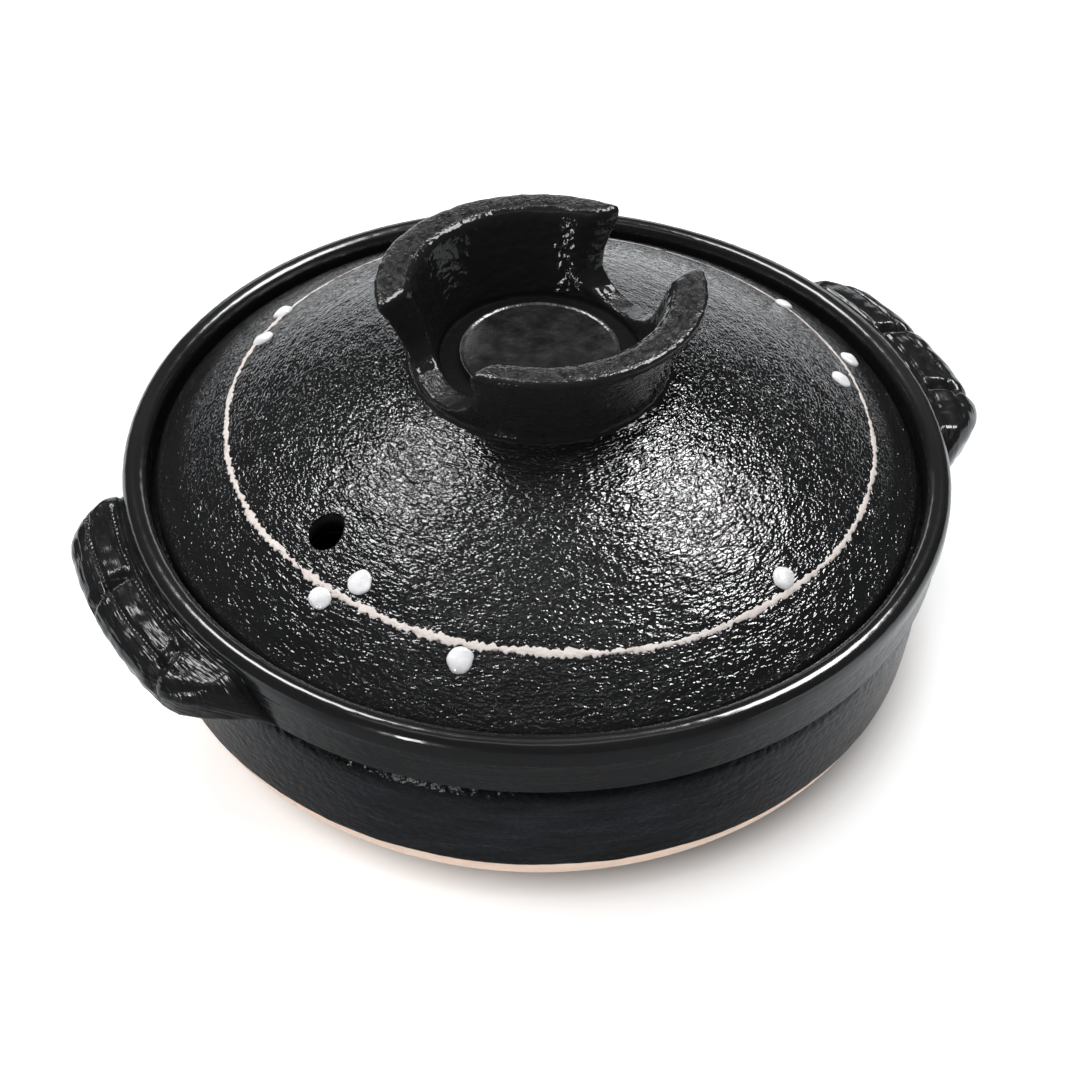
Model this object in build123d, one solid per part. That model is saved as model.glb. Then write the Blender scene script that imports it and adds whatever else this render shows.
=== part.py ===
from build123d import *
from math import cos, hypot, radians, sin, sqrt
import os

# Donabe: a glazed stoneware bowl with a round lip and two carved lugs, and a domed lid that sits on
# the ledge inside the lip. Millimetres, +Z up, the flat foot stands on Z = 0 and the pot's axis is Z.
# The lugs point along +X and -X, and -Y is the side that faces a cook.

# Bowl: finished sizes, glaze included. Radii are counted inwards from the rim, heights from the lip
rim_radius = 127.0
lip_centre_height = 70.0
lip_width = 7.5
band_height = 15.4
band_taper = 1.4
ledge_depth = 3.0
ledge_fall = 3.8
ledge_round = 1.2
wall_taper = 0.6
belly_bulge = 0.7
wall_thickness = 9.0
foot_corner_radius = 22.0
floor_thickness = 9.0
inner_corner_radius = 26.0
inner_wall_hollow = 1.0
gallery_depth = 10.0
gallery_width = 9.5
gallery_corner_round = 1.6
gallery_edge_round = 1.4
bare_foot_height = 17.7

# Glaze: one coat, stopped short of the foot and of the seat between bowl and lid
glaze_thickness = 0.6
glaze_seat_margin = 1.2

# Lugs, set on the band under the lip
lug_reach = 17.5
lug_drop = 0.6
lug_ledge_gap = 0.3
lug_half_angle = 25.5
lug_forward_angle = 3.0
lug_flank_angle_share = 0.8
lug_flank_reach_share = 0.68
lug_shoulder_angle_share = 0.6
lug_shoulder_round = 14.0
lug_edge_chamfer = 3.2
lug_under_round = 2.4
lug_groove_radius = 1.1
lug_border_width = 3.6
lug_groove_angle = 17.0
lug_cut_radius = 1.9
lug_cut_angle = 7.7

# Lid: the dome rises from an edge that stands over the seat
lid_side_clearance = 1.9
lid_seat_gap = 0.3
lid_seat_width = 7.0
lid_foot_round = 1.8
lid_edge_round = 4.2
lid_edge_height = 8.1
lid_thickness = 7.0
dome_rise = 39.6
steam_hole_diameter = 10.4
steam_hole_inset = 33.1
steam_hole_angle = -162.1

# Knob: a flared ring with one straight slot cut through it, and a turned boss in its middle
knob_base_radius = 38.1
knob_flare = 8.6
knob_height = 27.8
knob_wall = 9.5
knob_foot_width = 8.3
knob_flare_hollow = 1.4
knob_lip_round = 1.8
slot_width = 40.0
slot_angle = 11.0
slot_floor_inner_height = 3.4
slot_floor_outer_height = 1.6
channel_width = 6.2
boss_height = 3.4
boss_dish = 0.8
boss_edge_round = 1.2

# Painted line and raised dots on the lid
line_inset = 18.9
line_width = 2.0
line_height = 0.5
line_offset = 3.9
line_offset_angle = -28.0
dot_diameter = 6.9
dot_height = 1.6
dot_angles = (121.7, 131.6, -150.0, -154.8, -129.1, -72.4, -15.6, -6.6, 10.7, 66.0)
dot_line_gap_shares = (0.15, -0.21, -0.75, 0.42, 0.61, -0.56, -0.84, 0.66, 0.08, -0.16)
dot_size_shares = (0.96, 1.0, 1.04, 1.0, 1.08, 1.0, 0.95, 0.98, 0.9, 1.0)

overrun = 20.0

# Places that follow from the sizes
lip_radius = lip_width / 2
ledge_radius = rim_radius - band_taper
ledge_height = lip_centre_height - band_height
neck_radius = ledge_radius - ledge_depth
neck_height = ledge_height - ledge_fall
wall_radius = neck_radius - wall_taper
inner_wall_radius = wall_radius - wall_thickness
gallery_height = lip_centre_height - gallery_depth
gallery_outer_radius = rim_radius - lip_width
gallery_inner_radius = gallery_outer_radius - gallery_width
lug_top_height = lip_centre_height - lug_drop
lug_bottom_height = ledge_height + lug_ledge_gap
lid_radius = gallery_outer_radius - lid_side_clearance
lid_seat_height = gallery_height + lid_seat_gap
lid_seat_inner_radius = lid_radius - lid_seat_width
dome_radius = (lid_radius**2 + dome_rise**2) / (dome_rise * 2)
dome_centre_height = lid_seat_height + lid_edge_height + dome_rise - dome_radius
knob_seat_height = dome_centre_height + sqrt(dome_radius**2 - knob_base_radius**2)
knob_top_height = knob_seat_height + knob_height
knob_top_radius = knob_base_radius + knob_flare
knob_well_radius = knob_base_radius - knob_foot_width
boss_radius = knob_well_radius - channel_width
lid_under_height = knob_seat_height - lid_thickness
line_radius = lid_radius - line_inset
steam_hole_reach = lid_radius - steam_hole_inset


def on_circle(radius, angle, height=0):
    """A point at a plan radius and angle about the pot's axis."""
    return Vector(radius * cos(radians(angle)), radius * sin(radians(angle)), height)


def turned(section):
    """The body of revolution whose half section is drawn as (radius, height)."""
    return revolve(Plane.XZ * section, Axis.Z)


def zone(inner, low, outer, high):
    """A rectangle of the half section, from one radius and height to another."""
    return Pos((inner + outer) / 2, (low + high) / 2) * Rectangle(outer - inner, high - low)


def rounded(section, radius, *corners):
    """The section with the corners nearest to the given points rounded."""
    for corner in corners:
        section = fillet(section.vertices().sort_by_distance(Vector(*corner))[0], radius)
    return section


def ball(radius):
    """A ball about the centre of the lid's dome."""
    return Pos(0, 0, dome_centre_height) * Sphere(radius)


def bowl_section(skin):
    """Half section of the bowl, with its surface moved in by the skin."""
    foot_flat = wall_radius - foot_corner_radius
    floor_flat = inner_wall_radius - inner_corner_radius
    corner_height = floor_thickness + inner_corner_radius
    wall_foot = (wall_radius - skin, foot_corner_radius)
    neck = (neck_radius - skin, neck_height)
    ledge = (ledge_radius - skin, ledge_height + skin)
    lip_outside = (rim_radius - skin, lip_centre_height)
    lip_inside = (gallery_outer_radius + skin, lip_centre_height)
    gallery_corner = (gallery_outer_radius + skin, gallery_height - skin)
    gallery_edge = (gallery_inner_radius + skin, gallery_height - skin)
    inner_wall = (inner_wall_radius + skin, corner_height)
    floor_edge = (floor_flat, floor_thickness - skin)
    outline = [
        Line((0, skin), (foot_flat, skin)),
        CenterArc((foot_flat, foot_corner_radius), foot_corner_radius - skin, -90, 90),
        SagittaArc(wall_foot, neck, belly_bulge),
        Line(neck, ledge),
        Line(ledge, lip_outside),
        CenterArc((rim_radius - lip_radius, lip_centre_height), lip_radius - skin, 0, 180),
        Line(lip_inside, gallery_corner),
        Line(gallery_corner, gallery_edge),
        SagittaArc(gallery_edge, inner_wall, inner_wall_hollow),
        CenterArc((floor_flat, corner_height), inner_corner_radius + skin, -90, 90),
        Line(floor_edge, (0, floor_thickness - skin)),
        Line((0, floor_thickness - skin), (0, skin)),
    ]
    section = make_face(outline)
    section = rounded(section, ledge_round, ledge)
    section = rounded(section, gallery_corner_round + skin, gallery_corner)
    return rounded(section, gallery_edge_round, gallery_edge)


def bowl_glaze_sections():
    """The glaze coat in half section: outside and over the lip, then inside."""
    coat = bowl_section(0) - bowl_section(glaze_thickness)
    top = lip_centre_height + lip_width
    outside = coat & zone(lid_radius, bare_foot_height, rim_radius + overrun, top)
    inside_reach = inner_wall_radius + wall_thickness / 4
    inside = coat & zone(0, floor_thickness / 2, inside_reach, gallery_height - glaze_seat_margin)
    inside = inside - zone(0, 0, inside_reach, floor_thickness - glaze_thickness * 2)
    return outside, inside


def lid_section(skin):
    """Half section of the lid, with its surface moved in by the skin."""
    outer = dome_radius - skin
    under = dome_radius - lid_thickness + skin
    edge_centre_radius = lid_radius - lid_edge_round
    edge_reach = dome_radius - lid_edge_round
    edge_rise = sqrt(edge_reach**2 - edge_centre_radius**2)
    edge_height = dome_centre_height + edge_rise
    edge_share = outer / edge_reach
    knob_rise = knob_seat_height - dome_centre_height
    under_rise = lid_under_height + skin - dome_centre_height
    side = lid_seat_inner_radius + skin
    seat = lid_seat_height + skin
    top_edge = (sqrt(outer**2 - knob_rise**2), knob_seat_height)
    shoulder = (edge_centre_radius * edge_share, dome_centre_height + edge_rise * edge_share)
    rim = (lid_radius - skin, edge_height)
    foot = (lid_radius - skin, seat)
    seat_inside = (side, seat)
    side_top = (side, dome_centre_height + sqrt(under**2 - side**2))
    under_edge = (sqrt(under**2 - under_rise**2), lid_under_height + skin)

    def dome_arc(start, end, radius):
        """The arc of the dome's own circle between two of its points."""
        middle = ((start[0] + end[0]) / 2, (start[1] + end[1]) / 2 - dome_centre_height)
        reach = radius / hypot(*middle)
        bulge = (middle[0] * reach, dome_centre_height + middle[1] * reach)
        return ThreePointArc(start, bulge, end)

    edge_round = lid_edge_round - skin
    lean = Vector(edge_centre_radius / edge_reach + 1, edge_rise / edge_reach).normalized() * edge_round
    edge_middle = (edge_centre_radius + lean.X, edge_height + lean.Y)
    outline = [
        Line((0, knob_seat_height), top_edge),
        dome_arc(top_edge, shoulder, outer),
        ThreePointArc(shoulder, edge_middle, rim),
        Line(rim, foot),
        Line(foot, seat_inside),
        Line(seat_inside, side_top),
        dome_arc(side_top, under_edge, under),
        Line(under_edge, (0, lid_under_height + skin)),
        Line((0, lid_under_height + skin), (0, knob_seat_height)),
    ]
    return rounded(make_face(outline), lid_foot_round - skin, foot)


def lid_glaze_sections():
    """The lid's glaze coat in half section: the top, then the underside."""
    coat = lid_section(0) - lid_section(glaze_thickness)
    low = lid_seat_height + lid_foot_round
    seat_middle = lid_radius - lid_seat_width / 2
    middle_dome = Pos(0, dome_centre_height) * Circle(dome_radius - lid_thickness / 2)
    lower_half = middle_dome & zone(0, 0, seat_middle, knob_seat_height)
    top = (coat & zone(knob_base_radius, low, lid_radius + overrun, knob_seat_height)) - lower_half
    under = coat & lower_half & zone(0, low, seat_middle, knob_seat_height - lid_thickness / 2)
    return top, under


def lug(angle):
    """One carved lug: a slab round the band with bevelled ends, two long grooves and two cross cuts."""
    reach = rim_radius + lug_reach
    height = lug_top_height - lug_bottom_height
    root = rim_radius - lip_radius
    flank = (rim_radius + lug_reach * lug_flank_reach_share, lug_half_angle * lug_flank_angle_share)
    shoulder = (reach, lug_half_angle * lug_shoulder_angle_share)
    corners = ((root, lug_half_angle), (rim_radius, lug_half_angle), flank, shoulder)
    near = [on_circle(radius, -turn) for radius, turn in corners]
    far = [on_circle(radius, turn) for radius, turn in reversed(corners)]
    outline = Polyline(*near) + ThreePointArc(near[-1], (reach, 0), far[0]) + Polyline(*far)
    plan = make_face(outline + ThreePointArc(far[-1], (root, 0), near[0]))
    plan = rounded(plan, lug_shoulder_round, near[-1], near[-2], far[0], far[1])
    slab = extrude(Pos(0, 0, lug_bottom_height) * plan, height)
    outside = slab.edges().filter_by(lambda edge: hypot(edge.center().X, edge.center().Y) > rim_radius)
    top_rim = outside.filter_by_position(Axis.Z, lug_top_height, lug_top_height)
    slab = chamfer(top_rim, lug_edge_chamfer)
    outside = slab.edges().filter_by(lambda edge: hypot(edge.center().X, edge.center().Y) > rim_radius)
    under_rim = outside.filter_by_position(Axis.Z, lug_bottom_height, lug_bottom_height)
    slab = fillet(under_rim, lug_under_round)
    inner_groove = rim_radius + lug_border_width
    outer_groove = reach - lug_edge_chamfer - lug_border_width
    for radius in (inner_groove, outer_groove):
        groove = Plane.XZ * Pos(radius, lug_top_height) * Circle(lug_groove_radius)
        slab -= Rot(0, 0, -lug_groove_angle) * revolve(groove, Axis.Z, lug_groove_angle * 2)
    panel_width = outer_groove - inner_groove
    for turn in (-lug_cut_angle, lug_cut_angle):
        cut = Pos((inner_groove + outer_groove) / 2, 0, lug_top_height) * Rot(0, 90, 0)
        slab -= Rot(0, 0, turn) * cut * Cylinder(lug_cut_radius, panel_width)
    return Rot(0, 0, angle) * slab


def knob_ring():
    """The flared ring of the knob, with its slot cut down to a floor that falls outwards."""
    inner_top = knob_top_radius - knob_wall
    base_outer = (knob_base_radius, knob_seat_height)
    top_outer = (knob_top_radius, knob_top_height)
    top_inner = (inner_top, knob_top_height)
    base_inner = (knob_well_radius, knob_seat_height)
    section = make_face([
        Line(base_inner, base_outer),
        SagittaArc(base_outer, top_outer, knob_flare_hollow),
        Line(top_outer, top_inner),
        Line(top_inner, base_inner),
    ])
    ring = turned(rounded(section, knob_lip_round, top_outer, top_inner))
    floor_inner = knob_seat_height + slot_floor_inner_height
    floor_outer = knob_seat_height + slot_floor_outer_height
    far = knob_top_radius + overrun
    high = knob_top_height + overrun
    above_floor = turned(make_face(Polyline(
        (0, floor_inner), (knob_well_radius, floor_inner), (knob_base_radius, floor_outer),
        (far, floor_outer), (far, high), (0, high), (0, floor_inner))))
    slot = Pos(0, 0, knob_seat_height) * Box(far * 2, slot_width, high)
    return ring - (Rot(0, 0, slot_angle) * slot & above_floor)


def knob_boss():
    """The turned boss in the knob, slightly dished."""
    top = knob_seat_height + boss_height
    hollow_radius = (boss_radius**2 + boss_dish**2) / (boss_dish * 2)
    section = zone(0, knob_seat_height, boss_radius, top)
    section -= Pos(0, top - boss_dish + hollow_radius) * Circle(hollow_radius)
    return turned(rounded(section, boss_edge_round, (boss_radius, top)))


def lid_line(dome):
    """The painted ring: a thin band on the dome, set a little off centre."""
    centre = on_circle(line_offset, line_offset_angle, lid_seat_height)
    wide, narrow = line_radius + line_width / 2, line_radius - line_width / 2
    band = Pos(centre) * extrude(Circle(wide) - Circle(narrow), knob_top_height - lid_seat_height)
    return (band & ball(dome_radius + line_height)) - dome


def line_reach(angle):
    """The distance from the pot's axis to the middle of the painted ring, at an angle."""
    swing = radians(angle - line_offset_angle)
    return line_offset * cos(swing) + sqrt(line_radius**2 - (line_offset * sin(swing))**2)


def lid_dots(dome, line):
    """The raised enamel dots: low caps placed by the painted ring, and laid over it where they meet."""
    dots = []
    for angle, gap_share, size_share in zip(dot_angles, dot_line_gap_shares, dot_size_shares):
        width = dot_diameter * size_share / 2
        cap_radius = (width**2 + dot_height**2) / (dot_height * 2)
        reach = line_reach(angle) + dot_diameter * gap_share
        outward = on_circle(reach, angle, sqrt(dome_radius**2 - reach**2)).normalized()
        centre = outward * (dome_radius + dot_height - cap_radius)
        cap = Pos(0, 0, dome_centre_height) * Pos(centre) * Sphere(cap_radius)
        dots.append(cap - dome - line)
    return dots


outside_glaze, inside_glaze = bowl_glaze_sections()
bowl_clay = turned(bowl_section(0) - outside_glaze - inside_glaze)
lug_left = lug(180 + lug_forward_angle) - bowl_clay
lug_right = lug(-lug_forward_angle) - bowl_clay

top_glaze, under_glaze = lid_glaze_sections()
steam_hole = Pos(on_circle(steam_hole_reach, steam_hole_angle, knob_seat_height))
steam_hole *= Cylinder(steam_hole_diameter / 2, knob_top_height)
dome = ball(dome_radius)
painted_line = lid_line(dome)

parts = {
    "bowl_clay": bowl_clay,
    "bowl_glaze_outside": turned(outside_glaze) - lug_left - lug_right,
    "bowl_glaze_inside": turned(inside_glaze),
    "lug_left": lug_left,
    "lug_right": lug_right,
    "lid_clay": turned(lid_section(0) - top_glaze - under_glaze) - steam_hole,
    "lid_glaze_top": turned(top_glaze) - steam_hole,
    "lid_glaze_underside": turned(under_glaze) - steam_hole,
    "knob_ring": knob_ring(),
    "knob_boss": knob_boss(),
    "lid_painted_line": painted_line,
    "lid_enamel_dots": Compound(lid_dots(dome, painted_line)),
}

os.makedirs("parts", exist_ok=True)
for name, shape in parts.items():
    export_step(shape, f"parts/{name}.step")
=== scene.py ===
from math import acos, atan2, ceil, cos, hypot, pi, radians, sin, sqrt, tan

import bmesh
import bpy
from mathutils import Matrix, Vector, noise


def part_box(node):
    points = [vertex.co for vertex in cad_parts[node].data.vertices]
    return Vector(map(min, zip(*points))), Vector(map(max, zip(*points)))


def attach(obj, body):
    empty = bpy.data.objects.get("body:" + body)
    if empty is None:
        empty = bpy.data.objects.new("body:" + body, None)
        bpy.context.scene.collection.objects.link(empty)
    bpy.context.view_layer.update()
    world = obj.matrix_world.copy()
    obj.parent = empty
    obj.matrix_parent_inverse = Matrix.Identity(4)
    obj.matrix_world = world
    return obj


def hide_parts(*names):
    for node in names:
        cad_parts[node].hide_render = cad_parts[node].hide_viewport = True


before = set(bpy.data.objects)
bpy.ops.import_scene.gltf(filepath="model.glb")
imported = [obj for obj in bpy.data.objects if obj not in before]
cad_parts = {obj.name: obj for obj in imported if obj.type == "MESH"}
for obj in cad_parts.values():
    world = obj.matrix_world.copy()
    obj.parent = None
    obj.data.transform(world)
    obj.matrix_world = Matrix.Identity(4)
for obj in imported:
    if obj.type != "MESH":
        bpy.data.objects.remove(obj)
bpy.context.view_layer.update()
mm = 0.001


# The picture: the camera looks down on the cook's side of the pot from the left. Two soft boxes stand
# high behind the pot, left and right, with two weak panels overhead, a dim strip low behind the pot and
# a narrow window behind the camera. The room lights what is matt and is dark in the glaze.
camera_place = Vector((-221.2, -416.0, 473.4)) * mm
camera_aim = Vector((1.2, -0.7, 30.0)) * mm
camera_roll = radians(1.4)
camera_lens = 66.67
lid_middle = Vector((0, 0, 100)) * mm
strip_tint = (0.95, 0.97, 1.0)
panel_tint = (0.85, 0.92, 1.0)


def looking(place, aim, roll=0.0):
    """The place and turn of a camera or lamp that looks from one point at another."""
    back = (place - aim).normalized()
    right = Vector((0, 0, 1)).cross(back).normalized()
    up = back.cross(right)
    turned = Matrix((right * cos(roll) + up * sin(roll), up * cos(roll) - right * sin(roll), back))
    return Matrix.Translation(place) @ turned.transposed().to_4x4()


def soft_box(name, swing, rise, distance, width, height, power, tint=(1, 1, 1)):
    """A lamp swung to the right from behind the pot and raised, both in degrees, facing the lid. Its
    distance, width and height are in metres and its power in watts."""
    light = bpy.data.lights.new(name, "AREA")
    light.shape, light.size, light.size_y = "RECTANGLE", width, height
    light.energy, light.color = power, tint
    lamp = bpy.data.objects.new(name, light)
    bpy.context.scene.collection.objects.link(lamp)
    away = (camera_aim - camera_place) * Vector((1, 1, 0))
    level = Matrix.Rotation(-radians(swing), 3, "Z") @ away.normalized()
    toward = level * cos(radians(rise)) + Vector((0, 0, sin(radians(rise))))
    lamp.matrix_world = looking(lid_middle + toward * distance, lid_middle)
    lamp.visible_diffuse = False


camera = bpy.data.objects.new("camera", bpy.data.cameras.new("camera"))
camera.data.lens = camera_lens
camera.matrix_world = looking(camera_place, camera_aim, camera_roll)
bpy.context.scene.collection.objects.link(camera)
bpy.context.scene.camera = camera
bpy.context.scene.view_settings.view_transform = "Standard"

soft_box("soft_box_left", -49, 60, 1.1, 0.32, 0.44, 9.6)
soft_box("soft_box_right", 57, 58, 1.1, 0.50, 0.36, 18.0)
soft_box("far_strip", 0, 14, 1.5, 1.3, 0.30, 3.6, strip_tint)
soft_box("side_window", -153, 2, 1.3, 0.08, 0.40, 4.6)
soft_box("front_panel", 180, 74, 1.1, 1.10, 0.18, 0.9)
soft_box("back_panel", 0, 64, 1.3, 0.50, 0.50, 0.35, panel_tint)


class Result:
    """What a node gives out. Results that are numbers are added, taken away, multiplied and divided as
    numbers are, and each such sum is a node of its own."""

    def __init__(self, socket):
        self.socket = socket

    def __add__(self, other):
        return calc("ADD", self, other)

    def __sub__(self, other):
        return calc("SUBTRACT", self, other)

    def __rsub__(self, other):
        return calc("SUBTRACT", other, self)

    def __mul__(self, other):
        return calc("MULTIPLY", self, other)

    def __truediv__(self, other):
        return calc("DIVIDE", self, other)


def add(tree, kind, inputs=(), output=0, **settings):
    """Adds a node, sets or links its inputs, each given as socket: value, and returns one of its outputs."""
    node = tree.nodes.new(kind)
    for name, value in settings.items():
        setattr(node, name, value)
    for socket, value in dict(inputs).items():
        if isinstance(value, Result):
            tree.links.new(value.socket, node.inputs[socket])
        else:
            node.inputs[socket].default_value = value
    return Result(node.outputs[output])


def tree_of(*values):
    """The tree of the first value that comes from a node."""
    return next(value.socket.id_data for value in values if isinstance(value, Result))


def calc(operation, *values):
    """A sum of one, two or three values."""
    return add(tree_of(*values), "ShaderNodeMath", dict(enumerate(values)), operation=operation)


def combine(x, y, z):
    """A vector or colour from three values."""
    return add(tree_of(x, y, z), "ShaderNodeCombineXYZ", {0: x, 1: y, 2: z})


def ramp(value, low, high, start=0.0, end=1.0, **settings):
    """A value that goes from start to end while another goes from low to high."""
    return add(tree_of(value), "ShaderNodeMapRange", {
        "Value": value, "From Min": low, "From Max": high, "To Min": start, "To Max": end}, **settings)


def join(value, shader, socket):
    """Links a value to one of a shader's inputs."""
    shader.id_data.links.new(value.socket, shader.inputs[socket])


room_light = 0.28
room_mirrored = 0.045
ceiling_light = 4.8
ceiling_spread = 6.0
ceiling_aim = Vector((-0.10, 0.30, 1.0)).normalized()
studio = bpy.data.worlds.new("studio")
studio.use_nodes = True
room = studio.node_tree
mirrored = add(room, "ShaderNodeLightPath", output="Is Glossy Ray")
direction = add(room, "ShaderNodeTexCoord", output="Generated")
upward = add(room, "ShaderNodeVectorMath", {0: direction, 1: ceiling_aim}, "Value", operation="DOT_PRODUCT")
lit = calc("POWER", calc("MAXIMUM", upward, 0.0), ceiling_spread) * ceiling_light + room_light
join(mirrored * (room_mirrored - lit) + lit, room.nodes["Background"], "Strength")
room.nodes["Background"].inputs["Color"].default_value = (1, 1, 1, 1)
bpy.context.scene.world = studio

# The floor: pale paper with a shadow painted round the pot's foot, set a little to the right, and a glow
# painted on beyond that shadow. In reflections the floor is painted darker towards the front.
floor_half_width = 4.0
floor_roughness = 0.9
floor_tone = 0.93
floor_glow = 0.36
floor_glow_start = 101 * mm
floor_glow_reach = 26 * mm
floor_glow_shift = 9 * mm
floor_painted_shadow_shares = (0.42, 0.465, 0.49)
floor_open_shares = (0.95, 0.98, 1.0)
floor_painted_reflection_tones = (0.14, 1.0)
floor_mirrored_from = -80 * mm
floor_mirrored_to = 100 * mm
floor_mirrored_slant = 0.8
view_away = (0.469, 0.883, 0)
view_right = (0.883, -0.469, 0)
floor_mesh = bpy.data.meshes.new("floor")
corners = [(x * floor_half_width, y * floor_half_width, 0) for x, y in ((-1, -1), (1, -1), (1, 1), (-1, 1))]
floor_mesh.from_pydata(corners, [], [(0, 1, 2, 3)])
floor = bpy.data.objects.new("floor", floor_mesh)
bpy.context.scene.collection.objects.link(floor)
paper = bpy.data.materials.new("floor_paper")
paper.use_nodes = True
sheet = paper.node_tree
paper_shader = sheet.nodes["Principled BSDF"]
paper_shader.inputs["Roughness"].default_value = floor_roughness
paper_shader.inputs["Specular IOR Level"].default_value = 0.0
paper_shader.inputs["Emission Color"].default_value = (1, 1, 1, 1)
mirrored = add(sheet, "ShaderNodeLightPath", output="Is Glossy Ray")
spot = add(sheet, "ShaderNodeTexCoord", output="Object")
behind, beside = [add(sheet, "ShaderNodeVectorMath", {0: spot, 1: way}, "Value", operation="DOT_PRODUCT")
                  for way in (view_away, view_right)]
# Painted reflection: as the glaze mirrors it, the floor grows darker towards the front.
away = calc("ABSOLUTE", beside) * floor_mirrored_slant + behind
mirror_painted_tone = ramp(away, floor_mirrored_from, floor_mirrored_to, *floor_painted_reflection_tones)
tone = mirrored * (mirror_painted_tone - floor_tone) + floor_tone
# Painted shadow near the foot, and a painted glow further out.
shifted = beside - floor_glow_shift
from_foot = calc("SQRT", shifted * shifted + behind * behind)
open_share = ramp(from_foot, floor_glow_start, floor_glow_start + floor_glow_reach,
                  interpolation_type="SMOOTHSTEP")
shaded = [(open_share * (wide - near) + near) * tone
          for wide, near in zip(floor_open_shares, floor_painted_shadow_shares)]
join(combine(*shaded), paper_shader, "Base Color")
open_glow = open_share * floor_glow
join(open_glow - open_glow * mirrored, paper_shader, "Emission Strength")
floor_mesh.materials.append(paper)


# The bowl's clay: buff stoneware thrown on the wheel, with a ledge inside the lip for the lid. It is
# left bare at the foot and on the ledge, and lies one glaze coat deep everywhere else.
rim_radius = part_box("bowl_glaze_outside")[1][1]
lip_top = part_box("bowl_glaze_outside")[1][2]
lip_width = 7.5 * mm
lip_round = lip_width / 2
lip_roll = 0.7 * mm
ledge_radius = rim_radius - 1.4 * mm
ledge_height = lip_top - lip_round - 15.4 * mm
ledge_round = 0.9 * mm
neck_radius = ledge_radius - 3.0 * mm
neck_height = ledge_height - 3.8 * mm
neck_round = 1.6 * mm
neck_hollow = 2.7 * mm
shoulder_drop = 3.6 * mm
shoulder_swell = 0.5 * mm
shoulder_round = 3.0 * mm
wall_radius = neck_radius - 0.6 * mm
wall_foot_blend = 12 * mm
belly_bulge = 0.9 * mm
belly_round = 140 * mm
foot_round = 22.0 * mm
bare_foot_height = 17.7 * mm
inner_wall_radius = wall_radius - 9.0 * mm
inner_wall_round = 60 * mm
inner_round = 26.0 * mm
floor_thickness = 9.0 * mm
gallery_height = lip_top - lip_round - 10.0 * mm
gallery_outer = rim_radius - lip_width
gallery_inner = gallery_outer - 9.5 * mm
gallery_round = 1.6 * mm
gallery_edge_round = 1.4 * mm
gallery_glazed_width = 3.2 * mm
glaze_thickness = 0.6 * mm
glaze_seat_margin = 1.2 * mm
glaze_end_round = 0.28 * mm
hand_sway = 0.2 * mm
clay_tone = (0.90, 0.70, 0.575)
clay_shade = (0.80, 0.60, 0.485)
merge_gap = 0.01 * mm
flattest_corner = radians(0.5)


def run(spacing, *corners):
    """Corners of a half section, (radius, height, rounding), whose points lie a spacing apart."""
    return [(*corner, spacing) for corner in corners]


def half_section(name, corners):
    """The closed, rounded outline through the corners as a mesh of points, with their distance along it."""
    points = []
    for index, (radius, height, rounding, spacing) in enumerate(corners):
        here = Vector((radius, height))
        before = (Vector(corners[index - 1][:2]) - here).normalized()
        after = (Vector(corners[(index + 1) % len(corners)][:2]) - here).normalized()
        turn = pi - acos(max(-1, min(1, before.dot(after))))
        if rounding and turn > flattest_corner:
            reach = rounding * tan(turn / 2)
            centre = here + (before + after).normalized() * (rounding / cos(turn / 2))
            start, end = here + before * reach - centre, here + after * reach - centre
            first = atan2(start.y, start.x)
            sweep = (atan2(end.y, end.x) - first + pi) % (2 * pi) - pi
            steps = max(3, ceil(abs(sweep) * rounding / spacing))
            arc = [first + sweep * step / steps for step in range(steps + 1)]
            points += [(centre + Vector((cos(a), sin(a))) * rounding, spacing) for a in arc]
        else:
            points.append((here, spacing))
    line = []
    for index, (point, spacing) in enumerate(points):
        gap = points[(index + 1) % len(points)][0] - point
        steps = max(1, ceil(gap.length / spacing))
        line += [point + gap * step / steps for step in range(steps)]
    line.append(line[0])
    section = bpy.data.meshes.new(name)
    section.from_pydata([(point.x, 0, point.y) for point in line], [], [])
    along = section.attributes.new("along", "FLOAT", "POINT")
    distance = 0.0
    for index, point in enumerate(line):
        distance += (point - line[index - 1]).length if index else 0.0
        along.data[index].value = distance
    return section


def geometry_tree(name, sizes, counts=()):
    """A geometry tree with an input for each size and count and for the material, and those by name."""
    tree = bpy.data.node_groups.new(name, "GeometryNodeTree")
    tree.interface.new_socket("Geometry", in_out="OUTPUT", socket_type="NodeSocketGeometry")
    kinds = {"Geometry": "NodeSocketGeometry", **dict.fromkeys(sizes, "NodeSocketFloat"),
             **dict.fromkeys(counts, "NodeSocketInt"), "Material": "NodeSocketMaterial"}
    for label, kind in kinds.items():
        tree.interface.new_socket(label, in_out="INPUT", socket_type=kind)
    given = tree.nodes.new("NodeGroupInput")
    return tree, {socket.name: Result(socket) for socket in given.outputs}


def finished(tree, geometry, material):
    """Ends a tree: sets the material, makes copies real and gives the result out."""
    painted = add(tree, "GeometryNodeSetMaterial", {"Geometry": geometry, "Material": material})
    real = add(tree, "GeometryNodeRealizeInstances", {0: painted})
    given_out = tree.nodes.new("NodeGroupOutput")
    tree.links.new(real.socket, given_out.inputs[0])
    return tree


def parts(vector):
    """The x, y and z of a vector."""
    node = add(tree_of(vector), "ShaderNodeSeparateXYZ", {0: vector}).socket.node
    return [Result(socket) for socket in node.outputs]


def scaled(vector, share):
    """A vector or colour times a number."""
    return add(tree_of(share), "ShaderNodeVectorMath", {0: vector, "Scale": share}, operation="SCALE")


def moved(geometry, direction, distance):
    """A shape with each of its points moved a distance in a direction."""
    return add(tree_of(geometry), "GeometryNodeSetPosition", {
        "Geometry": geometry, "Offset": scaled(direction, distance)})


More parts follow.
